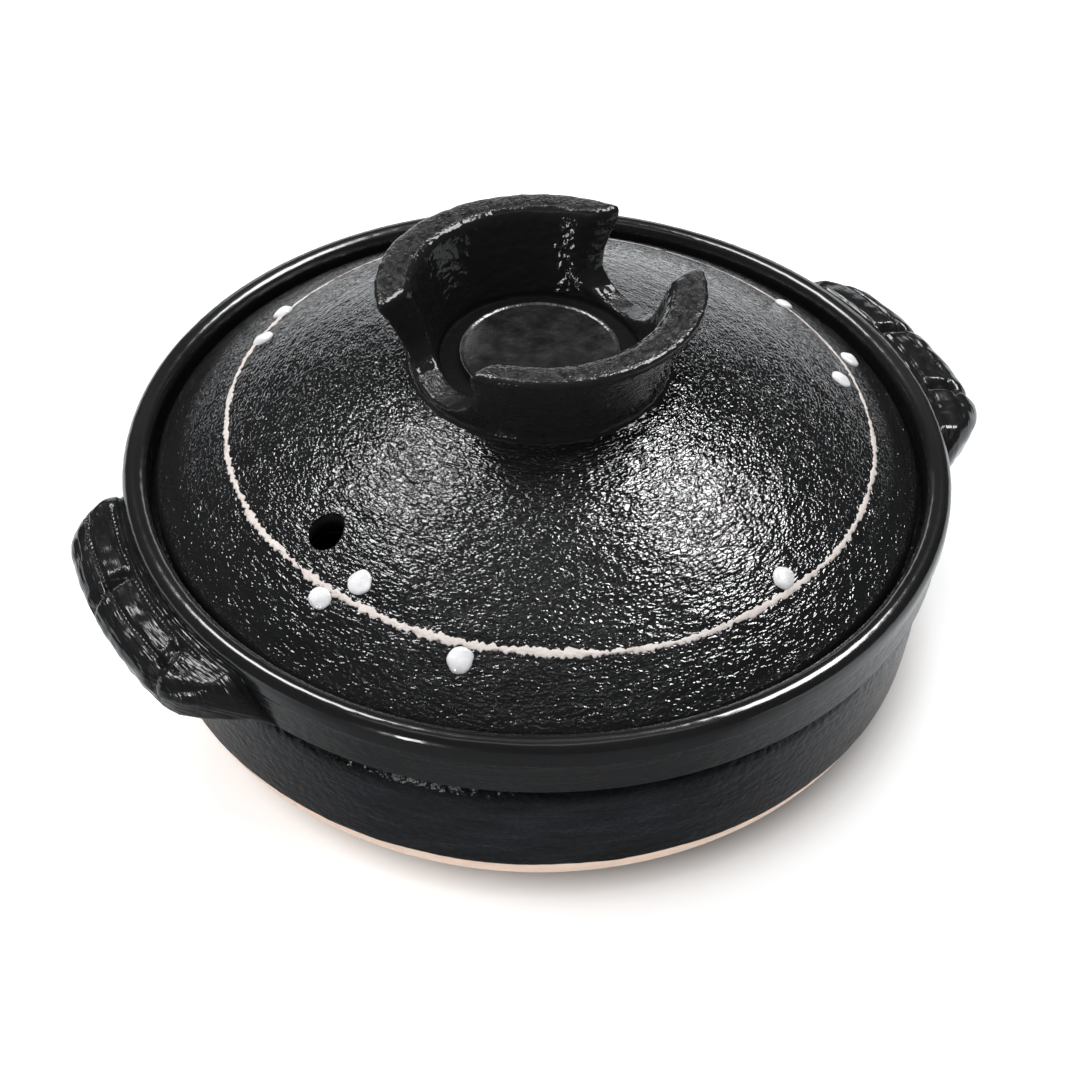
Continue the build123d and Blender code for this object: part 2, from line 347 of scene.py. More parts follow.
def uneven(vector, detail=1.0):
    """Noise between about -1 and 1."""
    grain = add(tree_of(vector), "ShaderNodeTexNoise", {"Vector": vector, "Scale": 1.0, "Detail": detail})
    return grain * 2.0 - 1.0


def wheel_tree():
    """Turns a half section about the pot's axis, then gives it the marks of the wheel and the hand."""
    tree, given = geometry_tree("thrown_on_the_wheel", (
        "Ridge Height", "Ridge Spacing", "Ridge Length", "Pebble Height", "Pebble Size", "Sway",
        "Sway Length", "Edge Sway", "Edge Sway Length", "Edge Height", "Edge Reach", "Seed"), ["Steps Round"])
    section = given["Geometry"]
    count = add(tree, "GeometryNodeAttributeDomainSize", {0: section}, "Point Count", component="MESH")
    ring = given["Steps Round"] + 1.0
    sheet = add(tree, "GeometryNodeMeshGrid", {"Vertices X": count, "Vertices Y": ring})
    index = add(tree, "GeometryNodeInputIndex")
    station = calc("FLOOR", index / ring)
    angle = (index - station * ring) / given["Steps Round"] * (-2 * pi)
    spot = add(tree, "GeometryNodeInputPosition")
    reading = add(tree, "GeometryNodeInputNamedAttribute", {"Name": "along"}, data_type="FLOAT")
    on_section, along = [
        add(tree, "GeometryNodeSampleIndex", {"Geometry": section, "Value": value, "Index": station},
            data_type=kind)
        for value, kind in ((spot, "FLOAT_VECTOR"), (reading, "FLOAT"))]
    radius, _, height = parts(on_section)
    place = combine(radius * calc("COSINE", angle), radius * calc("SINE", angle), height)
    kept = add(tree, "GeometryNodeStoreNamedAttribute", {"Geometry": sheet, "Name": "along", "Value": along},
               data_type="FLOAT", domain="POINT")
    turned = add(tree, "GeometryNodeSetPosition", {"Geometry": kept, "Position": place})
    closed = add(tree, "GeometryNodeMergeByDistance", {"Geometry": turned, "Distance": merge_gap})

    x, y, z = parts(spot)
    length = given["Ridge Length"]
    ridge = uneven(combine(x / length, y / length, reading / given["Ridge Spacing"] + given["Seed"]))
    pebble = uneven(combine(*[value / given["Pebble Size"] for value in (x, y, z)]))
    normal = add(tree, "GeometryNodeInputNormal")
    marked = moved(closed, normal, pebble * given["Pebble Height"] + ridge * given["Ridge Height"])

    lean = uneven(combine(*[value / given["Sway Length"] for value in (x, y, z)]), 0.0)
    outward = add(tree, "ShaderNodeVectorMath", {0: combine(x, y, 0.0)}, operation="NORMALIZE")
    swayed = moved(marked, outward, lean * given["Sway"])

    wave = given["Edge Sway Length"]
    drop = uneven(combine(x / wave, y / wave, given["Seed"]), 2.0)
    near = ramp(z, given["Edge Height"], given["Edge Height"] + given["Edge Reach"], 1.0, 0.0,
                interpolation_type="SMOOTHSTEP")
    edged = moved(swayed, (0, 0, 1), drop * near * given["Edge Sway"])
    return finished(tree, edged, given["Material"])


def grown(name, seed_mesh, tree, values):
    """The plain mesh that a geometry tree makes of a seed mesh, with its inputs set by name."""
    seed = bpy.data.objects.new(name + "_seed", seed_mesh)
    bpy.context.scene.collection.objects.link(seed)
    modifier = seed.modifiers.new("shape", "NODES")
    modifier.node_group = tree
    for socket in tree.interface.items_tree:
        if socket.name in values:
            modifier[socket.identifier] = values[socket.name]
    seen = seed.evaluated_get(bpy.context.evaluated_depsgraph_get())
    mesh = bpy.data.meshes.new_from_object(seen)
    seed.modifiers.remove(modifier)
    bpy.data.objects.remove(seed)
    mesh.name = name
    mesh.materials.clear()
    mesh.materials.append(values["Material"])
    mesh.polygons.foreach_set("material_index", [0] * len(mesh.polygons))
    return mesh


wheel = wheel_tree()


def thrown(name, corners, steps, material, ridge=(0.0, 3 * mm, 40 * mm), pebble=(0.0, 2 * mm), sway=0.0,
           edge=(0.0, 0.0), seed=0.0):
    """A turned piece. Ridge is the height, spacing and length of its marks, pebble the height and size of
    its grain, and edge the sway and height of its low edge."""
    return grown(name, half_section(name, corners), wheel, {
        "Steps Round": steps, "Ridge Height": ridge[0], "Ridge Spacing": ridge[1], "Ridge Length": ridge[2],
        "Pebble Height": pebble[0], "Pebble Size": pebble[1], "Sway": sway, "Sway Length": 60 * mm,
        "Edge Sway": edge[0], "Edge Sway Length": 14 * mm, "Edge Height": edge[1], "Edge Reach": 5 * mm,
        "Seed": seed, "Material": material})


def fit(name, mesh, body, slot, *nodes):
    """Puts a finished mesh on its body, in place of the pieces that it stands for."""
    shell = bmesh.new()
    shell.from_mesh(mesh)
    bmesh.ops.remove_doubles(shell, verts=shell.verts, dist=merge_gap)
    bmesh.ops.recalc_face_normals(shell, faces=shell.faces)
    shell.to_mesh(mesh)
    shell.free()
    mesh.shade_smooth()
    thing = bpy.data.objects.new(name, mesh)
    bpy.context.scene.collection.objects.link(thing)
    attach(thing, body)
    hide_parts(*nodes)


def drawn_out(tree, length, width, across):
    """A pattern vector drawn out round the pot's axis: length along the turn, width up or across it."""
    x, y, z = parts(add(tree, "ShaderNodeTexCoord", output="Object"))
    if across == "radius":
        z = calc("SQRT", x * x + y * y)
    return combine(x / length, y / length, z / width)


mottle_detail = 4.0
mottle_range = (0.3, 0.7)
# How far painted shade darkens a surface's tone and reflection.
painted_shade_share = 0.3


def ceramic(name, dark, light, mottle, roughness, relief, detail=2.0, swirl=0.0, specular=0.5,
            across="height", dim=None):
    """A fired surface. Its dark and light tone and its roughness are mottled over a length along the turn
    and a width across it, where across is the height up the pot or the radius from its axis. Relief is
    layers of a length, a width and a height, with finer grain for more detail and curled grain for more
    swirl. Dim is two heights between which the tone and the reflection are painted darker, as shade."""
    material = bpy.data.materials.new(name)
    material.use_nodes = True
    tree = material.node_tree
    shader = tree.nodes["Principled BSDF"]
    shader.inputs["Specular IOR Level"].default_value = specular
    cloud = add(tree, "ShaderNodeTexNoise", {
        "Vector": drawn_out(tree, *mottle, across), "Scale": 1.0, "Detail": mottle_detail})
    tone = add(tree, "ShaderNodeMix", {0: ramp(cloud, *mottle_range), 6: (*dark, 1), 7: (*light, 1)}, 2,
               data_type="RGBA")
    join(tone, shader, "Base Color")
    # Painted shade: between the two heights the tone and the reflection fall to a share of their own.
    if dim:
        height = parts(add(tree, "ShaderNodeTexCoord", output="Object"))[2]
        share = ramp(height, *dim, 1.0, painted_shade_share)
        join(scaled(tone, share), shader, "Base Color")
        join(share * specular, shader, "Specular IOR Level")
    join(ramp(cloud, *mottle_range, *roughness), shader, "Roughness")
    below = {}
    for length, width, height in relief:
        grain = add(tree, "ShaderNodeTexNoise", {
            "Vector": drawn_out(tree, length, width, across), "Scale": 1.0, "Detail": detail,
            "Distortion": swirl})
        normal = add(tree, "ShaderNodeBump", {"Strength": 1.0, "Distance": height, "Height": grain, **below})
        below = {"Normal": normal}
    join(normal, shader, "Normal")
    return material


def bowl_face(skin):
    """The bowl's outer corners from the glaze line to the ledge inside, moved in by a skin."""
    line_reach = foot_round - skin
    line_radius = wall_radius - foot_round + sqrt(line_reach ** 2 - (foot_round - bare_foot_height) ** 2)
    belly_height = (foot_round + neck_height) / 2
    return [
        (line_radius, bare_foot_height, glaze_end_round),
        (wall_radius - skin, foot_round, wall_foot_blend),
        (wall_radius + belly_bulge - skin, belly_height, belly_round),
        (wall_radius + shoulder_swell - skin, neck_height - shoulder_drop, shoulder_round),
        (neck_radius - neck_hollow - skin, neck_height + ledge_round, neck_round),
        (ledge_radius - skin, ledge_height, ledge_round),
        (rim_radius - lip_roll - skin, lip_top - lip_width - lip_roll, lip_roll),
        (rim_radius - skin, lip_top - lip_width + lip_roll, lip_roll * 2),
        (rim_radius - skin, lip_top - skin, lip_round - skin),
        (gallery_outer + skin, lip_top - skin, lip_round - skin),
        (gallery_outer + skin, gallery_height - skin, gallery_round + skin),
        (gallery_outer - gallery_glazed_width, gallery_height - skin, glaze_end_round)]


def bowl_inside(skin):
    """The bowl's inner corners from below the ledge to the middle of its floor."""
    return [
        (gallery_inner + skin, gallery_height - glaze_seat_margin, glaze_end_round),
        (inner_wall_radius + skin, floor_thickness + inner_round, inner_wall_round),
        (inner_wall_radius + skin, floor_thickness - skin, inner_round + skin),
        (0.0, floor_thickness - skin, 0.0)]


bare_clay = ceramic("bare_clay", clay_shade, clay_tone, (9 * mm, 2.5 * mm), (0.75, 0.9),
                    [(0.7 * mm, 0.7 * mm, 0.10 * mm), (6 * mm, 0.6 * mm, 0.10 * mm)], specular=0.3)
clay_corners = (
    run(3 * mm, (0.0, 0.0, 0.0), (wall_radius - glaze_thickness, 0.0, foot_round - glaze_thickness))
    + run(3 * mm, *bowl_face(glaze_thickness)[1:-1])
    + run(3 * mm, (gallery_inner, gallery_height, gallery_edge_round))
    + run(4 * mm, *bowl_inside(glaze_thickness)[1:]))
bowl_body = thrown("bowl_clay_body", clay_corners, 360, bare_clay, (0.12 * mm, 2.2 * mm, 60 * mm),
                   sway=hand_sway)
fit("bowl_clay_body", bowl_body, "bowl", "bare_clay", "bowl_clay")


# The bowl's black glaze, dipped: one coat outside, over the lip and down to the lid's seat, and one
# inside. Its low edge outside was wiped back by hand, so it wavers and ends in a soft bead.
glaze_deep = (0.0080, 0.0080, 0.0083)
glaze_thin = (0.0120, 0.0122, 0.0130)
glaze_brushed = (0.0170, 0.0172, 0.0180)
glaze_blue = (0.0165, 0.0185, 0.0235)
black_glaze = ceramic("black_glaze", glaze_deep, glaze_thin, (60 * mm, 4 * mm), (0.13, 0.2),
                      [(30 * mm, 2.5 * mm, 0.05 * mm)])
band_glaze = ceramic("band_glaze", glaze_thin, glaze_brushed, (26 * mm, 1.6 * mm), (0.18, 0.32),
                     [(26 * mm, 1.1 * mm, 0.08 * mm), (2.4 * mm, 1.8 * mm, 0.26 * mm)])
# The wall is painted darker just under the ledge as shade, and reflects less there.
wall_glaze = ceramic("wall_glaze", glaze_deep, glaze_blue, (22 * mm, 3 * mm), (0.14, 0.30),
                     [(12 * mm, 1.6 * mm, 0.20 * mm), (2.2 * mm, 1.8 * mm, 0.52 * mm)], detail=1.0,
                     specular=0.32, dim=(neck_height - 8 * mm, neck_height - 1 * mm))
outside_corners = run(1.14 * mm, *bowl_face(0)) + run(5 * mm, *reversed(bowl_face(glaze_thickness)))
outside = thrown("bowl_outside_coat", outside_corners, 640, black_glaze, (0.10 * mm, 2.8 * mm, 40 * mm),
                 (0.10 * mm, 3.2 * mm), hand_sway, (0.6 * mm, bare_foot_height))
outside.materials.append(band_glaze)
outside.materials.append(wall_glaze)
for face in outside.polygons:
    below_lip = face.center.z < lip_top - lip_width
    face.material_index = below_lip + (face.center.z < ledge_height)
fit("bowl_outside_coat", outside, "bowl", "black_glaze", "bowl_glaze_outside")
inside_corners = run(1.6 * mm, *bowl_inside(0)) + run(6 * mm, *reversed(bowl_inside(glaze_thickness)))
inside = thrown("bowl_inside_coat", inside_corners, 420, black_glaze, (0.14 * mm, 6 * mm, 140 * mm),
                sway=hand_sway)
fit("bowl_inside_coat", inside, "bowl", "black_glaze", "bowl_glaze_inside")


# The two lugs: clay slabs luted to the band under the lip while damp, and carved on top with two long
# grooves, two cross cuts and a wood-like grain before the same black glaze went on.
lug_centres = {"lug_left": 183.0, "lug_right": -3.0}
lug_reach = -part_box("lug_left")[0][0] - rim_radius
lug_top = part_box("lug_left")[1][2]
lug_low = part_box("lug_left")[0][2]
lug_root = rim_radius - 3.0 * mm
lug_half_angle = 26.3
lug_body_angle = 12.5
lug_fall_angle = 18.0
lug_least_height_share = 0.04
lug_tip_sink = 1.6 * mm
lug_crown_width = 5.6 * mm
lug_crown_least_share = 0.25
lug_crown_fall = 6.5 * mm
lug_side_lean = 1.8 * mm
lug_under_round = 2.4 * mm
lug_slope_share = 0.07
lug_rows = 380
lug_top_steps = 34
lug_round_steps = 20
lug_side_steps = 16
lug_under_steps = 6
lug_back_steps = 5
lug_grooves = (rim_radius + 3.6 * mm, rim_radius + 11.3 * mm)
lug_groove_angles = (-16.5, 13.0)
lug_groove_ease = 1.5
lug_groove_width = 1.0 * mm
lug_groove_depth = 0.8 * mm
lug_groove_wander = 0.35 * mm
lug_bead_length = 1.7 * mm
lug_bead_shares = (0.02, 0.10)
lug_cut_angles = {"lug_left": (-4.3, 10.4), "lug_right": (-5.0, 8.8)}
lug_cut_slant = 2.0 / (14 * mm)
lug_cut_width = 3.4 * mm
lug_cut_depth = 2.9 * mm
lug_cut_sharpness = 1.2
lug_cut_rag = 0.6 * mm
lug_edge_cut_depth = 1.3 * mm
lug_pillow = 0.5 * mm
lug_lumps = 0.28 * mm
lug_gutter_radius = rim_radius + 0.9 * mm
lug_gutter_width = 1.3 * mm
lug_gutter_depth = 0.9 * mm
lug_grain_width = 1.05 * mm
lug_grain_length = 14 * mm
lug_grain_depth = 0.36 * mm
lug_grain_bend = 1.2 * mm
lug_grain_shares = {"lug_left": 1.0, "lug_right": 0.35}
lug_panel_strengths = (0.3, 1.0, 0.8)
lug_border_strength = 0.4
lug_glazes = {node: ceramic(node + "_glaze", glaze_deep, glaze_thin, (8 * mm, 3 * mm), (0.12, 0.22),
                            [(8 * mm, 0.7 * mm, 0.32 * mm * share)], detail=1.0, specular=0.32,
                            across="radius")
              for node, share in lug_grain_shares.items()}


def between(value, low, high):
    """A smooth step from 0 at low to 1 at high."""
    share = max(0.0, min(1.0, (value - low) / (high - low)))
    return share * share * (3 - 2 * share)


def lug_section(turn):
    """The closed outline of a lug at an angle from its middle, as radius and height, top first."""
    swell = 1 - between(abs(turn), lug_body_angle, lug_half_angle)
    tall = max(lug_least_height_share, 1 - between(abs(turn), lug_fall_angle, lug_half_angle))
    reach = rim_radius - lug_tip_sink + (lug_reach + lug_tip_sink) * swell
    top = lug_low + (lug_top - lug_low) * tall
    crown = lug_crown_width * (lug_crown_least_share + (1 - lug_crown_least_share) * swell)
    fall = min(lug_crown_fall, (top - lug_low) * 0.5)
    under = min(lug_under_round, (top - lug_low) * 0.3)
    foot = reach - lug_side_lean * swell
    flat = [step / lug_top_steps for step in range(lug_top_steps)]
    quarter = [pi / 2 * step / lug_round_steps for step in range(lug_round_steps)]
    side = [step / lug_side_steps for step in range(lug_side_steps)]
    bottom = [step / lug_under_steps for step in range(lug_under_steps)]
    back = [step / lug_back_steps for step in range(lug_back_steps)]
    line = [(lug_root + (reach - crown - lug_root) * share, top) for share in flat]
    line += [(reach - crown + crown * sin(a), top - fall + fall * cos(a)) for a in quarter]
    line += [(reach + (foot - reach) * s, top - fall + (lug_low + under - top + fall) * s) for s in side]
    line += [(foot - under + under * cos(a), lug_low + under - under * sin(a)) for a in quarter[::4]]
    line += [(foot - under + (lug_root - foot + under) * share, lug_low) for share in bottom]
    return line + [(lug_root, lug_low + (top - lug_low) * share) for share in back]


def groove_beads(radius, along, side):
    """The depth of the two long grooves, pressed in bead by bead."""
    depth = 0.0
    for place in lug_grooves:
        wander = lug_groove_wander * noise.noise(Vector((along / (9 * mm), place / mm, side)))
        off = abs(radius - place - wander) / lug_groove_width
        bead = 0.9 + lug_bead_shares[side > 90] * cos(2 * pi * along / lug_bead_length)
        depth = max(depth, lug_groove_depth * bead * max(0.0, 1 - off * off))
    return depth


def carved(place, normal, centre, forward, cuts, grain_share):
    """How far the carving moves a point of a lug along its normal."""
    radius = hypot(place.x, place.y)
    turn = ((atan2(place.y, place.x) - radians(centre) + pi) % (2 * pi) - pi) * forward
    along = turn * radius
    degrees_on = turn * 180 / pi
    out = between(radius, rim_radius - 0.5 * mm, rim_radius + 1.5 * mm)
    top = between(normal.z, 0.3, 0.8)
    first, last = lug_groove_angles
    inner_groove, outer_groove = lug_grooves
    carved_length = between(degrees_on, first - lug_groove_ease, first) * (
        1 - between(degrees_on, last, last + lug_groove_ease))
    on_panel = between(radius, inner_groove, inner_groove + mm) * (
        1 - between(radius, outer_groove - mm, outer_groove)) * carved_length
    bounds = (first, *cuts, last)
    panel = sum(degrees_on > bound for bound in cuts)
    middle = (bounds[panel] + bounds[panel + 1]) / 2
    half = (bounds[panel + 1] - bounds[panel]) / 2
    ease = max(0.0, 1 - ((degrees_on - middle) / half) ** 2)
    width = (outer_groove - inner_groove) / 2
    arch = max(0.0, 1 - ((radius - inner_groove - width) / width) ** 2)
    lift = lug_pillow * arch * ease * on_panel
    strength = lug_panel_strengths[panel] * on_panel + lug_border_strength * (1 - on_panel)
    bend = lug_grain_bend * noise.noise(Vector((along / (12 * mm), radius / (9 * mm), centre)))
    across = radius if normal.z > 0.5 else place.z - radius * 0.5
    fibre = Vector(((across + bend) / lug_grain_width, along / lug_grain_length, centre + panel * 7))
    lift += lug_grain_depth * grain_share * strength * (1 - abs(noise.noise(fibre)) * 2)
    lift -= groove_beads(radius, along, centre) * carved_length * top
    if top > 0:
        gutter = max(0.0, 1 - abs(radius - lug_gutter_radius) / lug_gutter_width)
        lift -= lug_gutter_depth * gutter * top
    inner = between(radius, inner_groove - 0.6 * mm, inner_groove + 1.5 * mm)
    outer = between(radius, outer_groove - 0.5 * mm, outer_groove + 2.5 * mm)
    for index, cut_angle in enumerate(cuts):
        rag = lug_cut_rag * noise.noise(Vector((radius / (2.4 * mm), index, centre)))
        slant = (radius - inner_groove) * lug_cut_slant
        off = abs((degrees_on - cut_angle - slant) * pi / 180 * radius + rag) / lug_cut_width
        if off < 1 and normal.z > -0.3:
            depth = lug_cut_depth + (lug_edge_cut_depth - lug_cut_depth) * outer
            lift -= depth * inner * (1 - off) ** lug_cut_sharpness
    lift += lug_lumps * noise.noise(place / (4 * mm))
    return lift * out


def lug_slope(radius, height):
    """How far the top of a lug falls towards its outer edge."""
    return lug_slope_share * max(0.0, radius - rim_radius) * between(height, (lug_top + lug_low) / 2, lug_top)


for node, centre in lug_centres.items():
    forward = 1 if centre > 90 else -1
    body = bmesh.new()
    rows = []
    for row in range(lug_rows + 1):
        turn = lug_half_angle * (2 * row / lug_rows - 1)
        angle = radians(centre + turn)
        section = [(cos(angle) * radius, sin(angle) * radius, height - lug_slope(radius, height))
                   for radius, height in lug_section(turn)]
        rows.append([body.verts.new(point) for point in section])
    for row in range(lug_rows):
        for place in range(len(rows[0])):
            after = (place + 1) % len(rows[0])
            body.faces.new((rows[row][place], rows[row + 1][place], rows[row + 1][after], rows[row][after]))
    body.faces.new(rows[0])
    body.faces.new(reversed(rows[-1]))
    bmesh.ops.recalc_face_normals(body, faces=body.faces)
    body.normal_update()
    cuts = lug_cut_angles[node]
    share = lug_grain_shares[node]
    moves = [carved(vertex.co, vertex.normal, centre, forward, cuts, share) for vertex in body.verts]
    for vertex, move in zip(body.verts, moves):
        vertex.co += vertex.normal * move
    mesh = bpy.data.meshes.new(node + "_carved")
    body.to_mesh(mesh)
    body.free()
    mesh.materials.append(lug_glazes[node])
    fit(node + "_carved", mesh, "bowl", "lug_glaze", node)


# The lid's clay: a thrown dome that stands on a narrow ring inside its edge. Only that ring is bare.
# The steam hole was pierced with a stick while the clay was damp, so it isn't quite round.
lid_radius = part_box("lid_clay")[1][0]
lid_seat_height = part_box("lid_clay")[0][2]
knob_seat_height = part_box("knob_ring")[0][2]
knob_base_radius = 38.1 * mm
lid_thickness = 7.0 * mm
lid_seat_inner = lid_radius - 7.0 * mm
lid_seat_round = 0.8 * mm
lid_edge_round = 4.2 * mm
lid_edge_height = 8.1 * mm
lid_edge_start = lid_radius - 2.2 * mm
lid_foot_round = 1.8 * mm
lid_bare_foot = 0.6 * mm
dome_rise = 39.6 * mm
dome_radius = (lid_radius ** 2 + dome_rise ** 2) / (dome_rise * 2)
dome_centre = lid_seat_height + lid_edge_height + dome_rise - dome_radius
under_flat = sqrt((dome_radius - lid_thickness) ** 2 - (knob_seat_height - lid_thickness - dome_centre) ** 2)
steam_hole_radius = 5.2 * mm
steam_hole_reach = lid_radius - 33.1 * mm
steam_hole_angle = radians(-162.1)
steam_hole_sides = 36
stick_low = 60 * mm
stick_high = 110 * mm


def on_dome(radius, skin=0.0):
    """The height of the dome's surface at a radius, under a skin."""
    return dome_centre + sqrt((dome_radius - skin) ** 2 - radius ** 2)


def dome_run(spacing, start, end, skin=0.0):
    """Points along the dome, or under a skin of it, from one radius to another."""
    steps = ceil(abs(end - start) / spacing)
    radii = [start + (end - start) * step / steps for step in range(steps + 1)]
    return run(2 * spacing, *[(radius, on_dome(radius, skin), 0.0) for radius in radii])


def lid_edge(skin):
    """The corners of the lid's edge, from the dome down to its foot."""
    rim = lid_radius - skin
    return [(rim, on_dome(rim, skin), lid_edge_round - skin),
            (rim, lid_seat_height + lid_bare_foot, glaze_end_round)]


def without_strays(mesh):
    """Splits a mesh's many-sided faces and takes away pairs of faces that lie back to back."""
    shell = bmesh.new()
    shell.from_mesh(mesh)
    bmesh.ops.remove_doubles(shell, verts=shell.verts, dist=merge_gap)
    bmesh.ops.triangulate(shell, faces=[face for face in shell.faces if len(face.verts) > 4])
    first, folded = {}, []
    for face in shell.faces:
        corners = frozenset(face.verts)
        if corners in first:
            folded += [first[corners], face]
        first[corners] = face
    bmesh.ops.delete(shell, geom=folded, context="FACES")
    shell.to_mesh(mesh)
    shell.free()


def pierced(mesh, surface, lining):
    """The mesh, of a surface material, with the steam hole cut through it and its wall lined with another."""
    stick = bpy.data.meshes.new("stick")
    tool = bmesh.new()
    middle = Vector((cos(steam_hole_angle), sin(steam_hole_angle), 0)) * steam_hole_reach
    rings = []
    for height in (stick_low, stick_high):
        ring = []
        for side in range(steam_hole_sides):
            turn = 2 * pi * side / steam_hole_sides
            rag = Vector((cos(turn), sin(turn), 3.1))
            spread = steam_hole_radius * (1.03 + 0.12 * noise.noise(rag * 1.7) + 0.06 * noise.noise(rag * 5))
            ring.append(tool.verts.new(middle + Vector((cos(turn) * spread, sin(turn) * spread, height))))
        rings.append(ring)
    low, high = rings
    for side in range(steam_hole_sides):
        following = (side + 1) % steam_hole_sides
        tool.faces.new((low[side], low[following], high[following], high[side]))
    tool.faces.new(list(reversed(low)))
    tool.faces.new(high)
    tool.to_mesh(stick)
    tool.free()
    cutter = bpy.data.objects.new("stick", stick)
    whole = bpy.data.objects.new("whole", mesh)
    for thing in (cutter, whole):
        bpy.context.scene.collection.objects.link(thing)
    cut = whole.modifiers.new("hole", "BOOLEAN")
    cut.operation, cut.solver, cut.object = "DIFFERENCE", "MANIFOLD", cutter
    result = bpy.data.meshes.new_from_object(whole.evaluated_get(bpy.context.evaluated_depsgraph_get()))
    bpy.data.objects.remove(whole)
    bpy.data.objects.remove(cutter)
    without_strays(result)
    result.name = mesh.name
    result.materials.clear()
    result.materials.append(surface)
    result.materials.append(lining)
    for face in result.polygons:
        beside = hypot(face.center.x - middle.x, face.center.y - middle.y)
        face.material_index = int(beside < steam_hole_radius * 1.12 and abs(face.normal.z) < 0.5)
    return result


lid_glaze = ceramic("lid_glaze", glaze_deep, glaze_thin, (20 * mm, 3 * mm), (0.03, 0.06), [
    (12 * mm, 7 * mm, 0.6 * mm), (4.5 * mm, 0.9 * mm, 0.20 * mm), (1.5 * mm, 1.0 * mm, 0.39 * mm)],
    detail=0.5, swirl=0.7, across="radius")
# Painted shade: a dull black that hardly reflects, lining the steam hole and the knob's channel so they read
# dark.
recess_shade_black = ceramic("recess_shade_black", glaze_deep, glaze_deep, (5 * mm, 5 * mm), (0.5, 0.6),
                     [(2 * mm, 2 * mm, 0.1 * mm)], specular=0.02)
clay_rim = lid_radius - glaze_thickness
clay_seat_inner = lid_seat_inner + glaze_thickness
under_clay_height = knob_seat_height - lid_thickness + glaze_thickness
clay_lid_corners = (
    run(4 * mm, (0.0, knob_seat_height - glaze_thickness, 0.0))
    + dome_run(4 * mm, knob_base_radius, lid_edge_start, glaze_thickness)
    + run(2 * mm, (clay_rim, on_dome(clay_rim, glaze_thickness), lid_edge_round - glaze_thickness),
          (clay_rim, lid_seat_height, lid_foot_round), (clay_seat_inner, lid_seat_height, lid_seat_round))
    + dome_run(4 * mm, clay_seat_inner, under_flat, lid_thickness - glaze_thickness)
    + run(4 * mm, (0.0, under_clay_height, 0.0)))
# The hole's wall in the clay is lined with the painted-shade black.
clay_dome = pierced(thrown("lid_clay_body", clay_lid_corners, 360, bare_clay), bare_clay, recess_shade_black)
fit("lid_clay_body", clay_dome, "lid", "bare_clay", "lid_clay")


# The lid's glaze: black over a sandy, groggy skin that the wheel dragged into rings, so the coat is
# pebbled like orange peel and streaked round the pot. Its edge and its underside are smooth.
top_corners = (
    run(3 * mm, (0.0, knob_seat_height, 0.0))
    + dome_run(0.82 * mm, knob_base_radius, lid_edge_start)
    + run(0.8 * mm, *lid_edge(0))
    + run(4 * mm, *reversed(lid_edge(glaze_thickness)))
    + dome_run(6 * mm, lid_edge_start, knob_base_radius, glaze_thickness)
    + run(6 * mm, (0.0, knob_seat_height - glaze_thickness, 0.0)))
top = thrown("lid_top_coat", top_corners, 630, lid_glaze, (0.10 * mm, 2.2 * mm, 18 * mm),
             (0.14 * mm, 2.3 * mm), seed=3.0)
# The hole's wall in the coat is lined with the painted-shade black.
top = pierced(top, lid_glaze, recess_shade_black)
top.materials.append(black_glaze)
for face in top.polygons:
    if hypot(face.center.x, face.center.y) > lid_edge_start and abs(face.normal.z) < 0.6:
        face.material_index = 2
fit("lid_top_coat", top, "lid", "lid_glaze", "lid_glaze_top")
under_corners = (
    run(4 * mm, (0.0, knob_seat_height - lid_thickness, 0.0))
    + dome_run(2 * mm, under_flat, lid_seat_inner, lid_thickness)
    + run(2 * mm, (lid_seat_inner, lid_seat_height + lid_foot_round, glaze_end_round),
          (clay_seat_inner, lid_seat_height + lid_foot_round, glaze_end_round))
    + dome_run(5 * mm, clay_seat_inner, under_flat, lid_thickness - glaze_thickness)
    + run(5 * mm, (0.0, under_clay_height, 0.0)))
under = thrown("lid_under_coat", under_corners, 360, black_glaze, (0.25 * mm, 5 * mm, 120 * mm), seed=7.0)
fit("lid_under_coat", pierced(under, black_glaze, black_glaze), "lid", "lid_glaze", "lid_glaze_underside")


# The knob: a flared ring thrown apart, luted to the lid and cut by one straight slot, with the glaze
# pooled in a soft fillet at its foot and in the slot's corners. It is sandy on its cut top, and the
# channel round the boss is painted a dull black as shade.
knob_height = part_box("knob_ring")[1][2] - knob_seat_height
knob_glaze = ceramic("knob_glaze", (0.0125, 0.0125, 0.0128), (0.0140, 0.0140, 0.0143), (10 * mm, 3 * mm),
                     (0.09, 0.12), [(2.2 * mm, 1.7 * mm, 0.30 * mm)], detail=0.8, specular=0.17)
knob_crown_glaze = ceramic("knob_crown_glaze", (0.007, 0.007, 0.007), (0.024, 0.0235, 0.0235),
                           (2.2 * mm, 2.2 * mm), (0.16, 0.34), [(1.0 * mm, 1.0 * mm, 0.20 * mm)],
                           detail=1.0, specular=0.4, across="radius")
knob_floor_height = 1.65 * mm
knob_channel_height = 2.4 * mm
knob_lump_size = 3 * mm
knob_side_shares = (0.95, 0.96)
knob_wide_way = (0.883, -0.469)
knob_smoothings = 2
slot_edge_shares = (1.5, 3.5)
